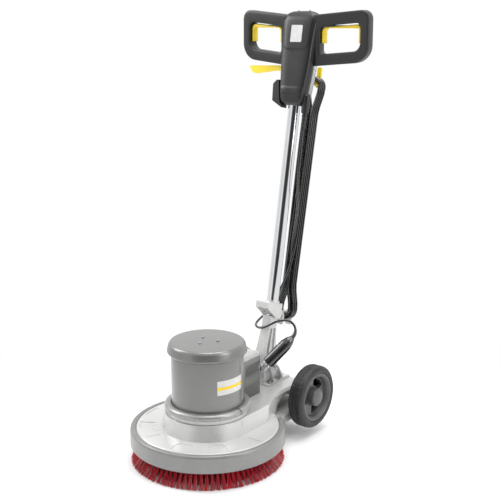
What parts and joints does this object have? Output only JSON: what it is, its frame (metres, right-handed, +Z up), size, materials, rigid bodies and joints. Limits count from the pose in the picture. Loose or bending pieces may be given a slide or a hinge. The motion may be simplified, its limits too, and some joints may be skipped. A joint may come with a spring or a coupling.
{
  "type": "rotary floor machine",
  "caption": "Upright single-disc floor scrubber: round cast deck, red brush, geared motor, two transport wheels, tilting chrome handle with twin-grip head and a mains lead wound on hooks.",
  "frame": {"origin": "on the floor, under the middle of the machine's box without its lead, width and length", "axes": "+Z up, brush end towards -Y, operator's end towards +Y, +X to the machine's right seen from behind the brush"},
  "size_m": [0.4352, 0.7575, 1.2116],
  "materials": {
    "bristle": "satin filaments",
    "brush_block": "moulded",
    "drive_plastic": "moulded",
    "gear_steel": "ground",
    "bearing_steel": "polished",
    "fastener_steel": "zinc plated",
    "cast_aluminium": "silver painted casting",
    "bumper_rubber": "satin grey",
    "motor_grey": "semi-gloss grey",
    "lid_grey": "satin",
    "lamination": "varnished laminations",
    "copper": "enamelled copper wire",
    "capacitor_black": "moulded can",
    "label": "plain laminate, no print",
    "wheel_grey": "moulded",
    "wheel_cap": "moulded",
    "tyre": "rubber",
    "chrome": "polished",
    "head_plastic": "fine texture",
    "head_rear_plastic": "satin",
    "switch_black": "moulded",
    "signal_yellow": "moulded",
    "lead_sheath": "sheathed cable",
    "plug_rubber": "semi-gloss",
    "plug_pin": "nickel plated"
  },
  "bodies": {
    "base": {"deck": "cast_aluminium", "bumper": "bumper_rubber", "gear_cover": "cast_aluminium", "output_bearing": "bearing_steel", "ring_gear": "gear_steel", "end_shields": "cast_aluminium", "base_band": "cast_aluminium", "motor_sleeve": "motor_grey", "motor_cap": "motor_grey", "base_screws": "fastener_steel", "motor_bearings": "bearing_steel", "stator": "lamination", "windings": "copper", "capacitor_box": "motor_grey", "box_lid": "lid_grey", "capacitors": "capacitor_black", "rating_label": "label", "axle": "fastener_steel", "deck_bracket": "cast_aluminium", "hinge_pins": "fastener_steel"},
    "brush": {"bristles": "bristle", "brush_plate": "brush_block", "brush_coupling": "brush_block", "drive_hub": "drive_plastic", "planet_carrier": "gear_steel"},
    "planet_1": {"planet_gear_1": "gear_steel"},
    "planet_2": {"planet_gear_2": "gear_steel"},
    "planet_3": {"planet_gear_3": "gear_steel"},
    "rotor": {"rotor_core": "lamination", "motor_shaft": "gear_steel", "cooling_fan": "brush_block"},
    "wheel_left": {"wheel_hub_left": "wheel_grey", "tyre_left": "tyre", "hub_cap_left": "wheel_cap"},
    "wheel_right": {"wheel_hub_right": "wheel_grey", "tyre_right": "tyre", "hub_cap_right": "wheel_cap"},
    "handle": {"handle_leg": "cast_aluminium", "tube": "chrome", "lower_hook": "cast_aluminium", "head_front": "head_plastic", "head_rear": "head_rear_plastic", "head_screws": "fastener_steel", "socket_box": "head_plastic", "badge_plate": "label", "grip_left": "head_plastic", "grip_right": "head_plastic", "head_pins": "fastener_steel", "micro_switches": "switch_black", "cord_boot": "lead_sheath", "cord_ends": "lead_sheath", "cord_hank": "lead_sheath", "plug": "plug_rubber", "plug_pins": "plug_pin"},
    "lock": {"lock_rod": "fastener_steel"},
    "switch_left": {"switch_lever_left": "signal_yellow"},
    "switch_right": {"switch_lever_right": "signal_yellow"},
    "button": {"lockout_button": "signal_yellow"},
    "tilt_release": {"tilt_lever": "signal_yellow"},
    "hook": {"upper_hook": "signal_yellow"}
  },
  "joints": [
    {"name": "brush_spin", "type": "hinge", "parent": "base", "child": "brush", "pos_m": [0, -0.165, 0.06], "axis": [0, 0, 1], "continuous": true},
    {"name": "rotor_spin", "type": "hinge", "parent": "base", "child": "rotor", "pos_m": [0, -0.165, 0.22], "axis": [0, 0, 1], "continuous": true},
    {"name": "planet_1_spin", "type": "hinge", "parent": "brush", "child": "planet_1", "pos_m": [0.042, -0.165, 0.113], "axis": [0, 0, 1], "continuous": true},
    {"name": "planet_2_spin", "type": "hinge", "parent": "brush", "child": "planet_2", "pos_m": [-0.021, -0.12863, 0.113], "axis": [0, 0, 1], "continuous": true},
    {"name": "planet_3_spin", "type": "hinge", "parent": "brush", "child": "planet_3", "pos_m": [-0.021, -0.20137, 0.113], "axis": [0, 0, 1], "continuous": true},
    {"name": "handle_tilt", "type": "hinge", "parent": "base", "child": "handle", "pos_m": [0, 0.12221, 0.18577], "axis": [-1, 0, 0], "range_deg": [0, 65]},
    {"name": "tilt_release", "type": "hinge", "parent": "handle", "child": "tilt_release", "pos_m": [0.028, 0.28284, 1.04387], "axis": [0, 0.9838, -0.1795], "range_deg": [0, 2.6], "stiffness_Nm_per_rad": 12, "springref_deg": -1.72},
    {"name": "lock_slide", "type": "slide", "parent": "handle", "child": "lock", "axis": [0, 0.1795, 0.9838], "range_m": [0, 0.00127]},
    {"name": "switch_left", "type": "hinge", "parent": "handle", "child": "switch_left", "pos_m": [-0.11845, 0.296, 1.167], "axis": [-0.9945, 0.1045, 0], "range_deg": [0, 10], "stiffness_Nm_per_rad": 1.5, "springref_deg": -5.73},
    {"name": "switch_right", "type": "hinge", "parent": "handle", "child": "switch_right", "pos_m": [0.11845, 0.296, 1.167], "axis": [-0.9945, -0.1045, 0], "range_deg": [0, 10], "stiffness_Nm_per_rad": 1.5, "springref_deg": -5.73},
    {"name": "lockout_press", "type": "slide", "parent": "handle", "child": "button", "axis": [0, -0.9838, 0.1795], "range_m": [0, 0.003], "stiffness_N_per_m": 600, "springref_m": -0.002},
    {"name": "wheel_left_spin", "type": "hinge", "parent": "base", "child": "wheel_left", "pos_m": [-0.14, 0.14, 0.1135], "axis": [1, 0, 0], "continuous": true},
    {"name": "wheel_right_spin", "type": "hinge", "parent": "base", "child": "wheel_right", "pos_m": [0.14, 0.14, 0.1135], "axis": [1, 0, 0], "continuous": true},
    {"name": "upper_hook_turn", "type": "hinge", "parent": "handle", "child": "hook", "pos_m": [0, 0.31442, 1.00528], "axis": [0, 0.9838, -0.1795], "range_deg": [-180, 180]}
  ],
  "couplings": [
    {"joint": "rotor_spin", "follows": "brush_spin", "ratio": 8},
    {"joint": "planet_1_spin", "follows": "brush_spin", "ratio": -2.3333},
    {"joint": "planet_2_spin", "follows": "brush_spin", "ratio": -2.3333},
    {"joint": "planet_3_spin", "follows": "brush_spin", "ratio": -2.3333},
    {"joint": "lock_slide", "follows": "tilt_release", "m_per_rad": 0.028}
  ]
}
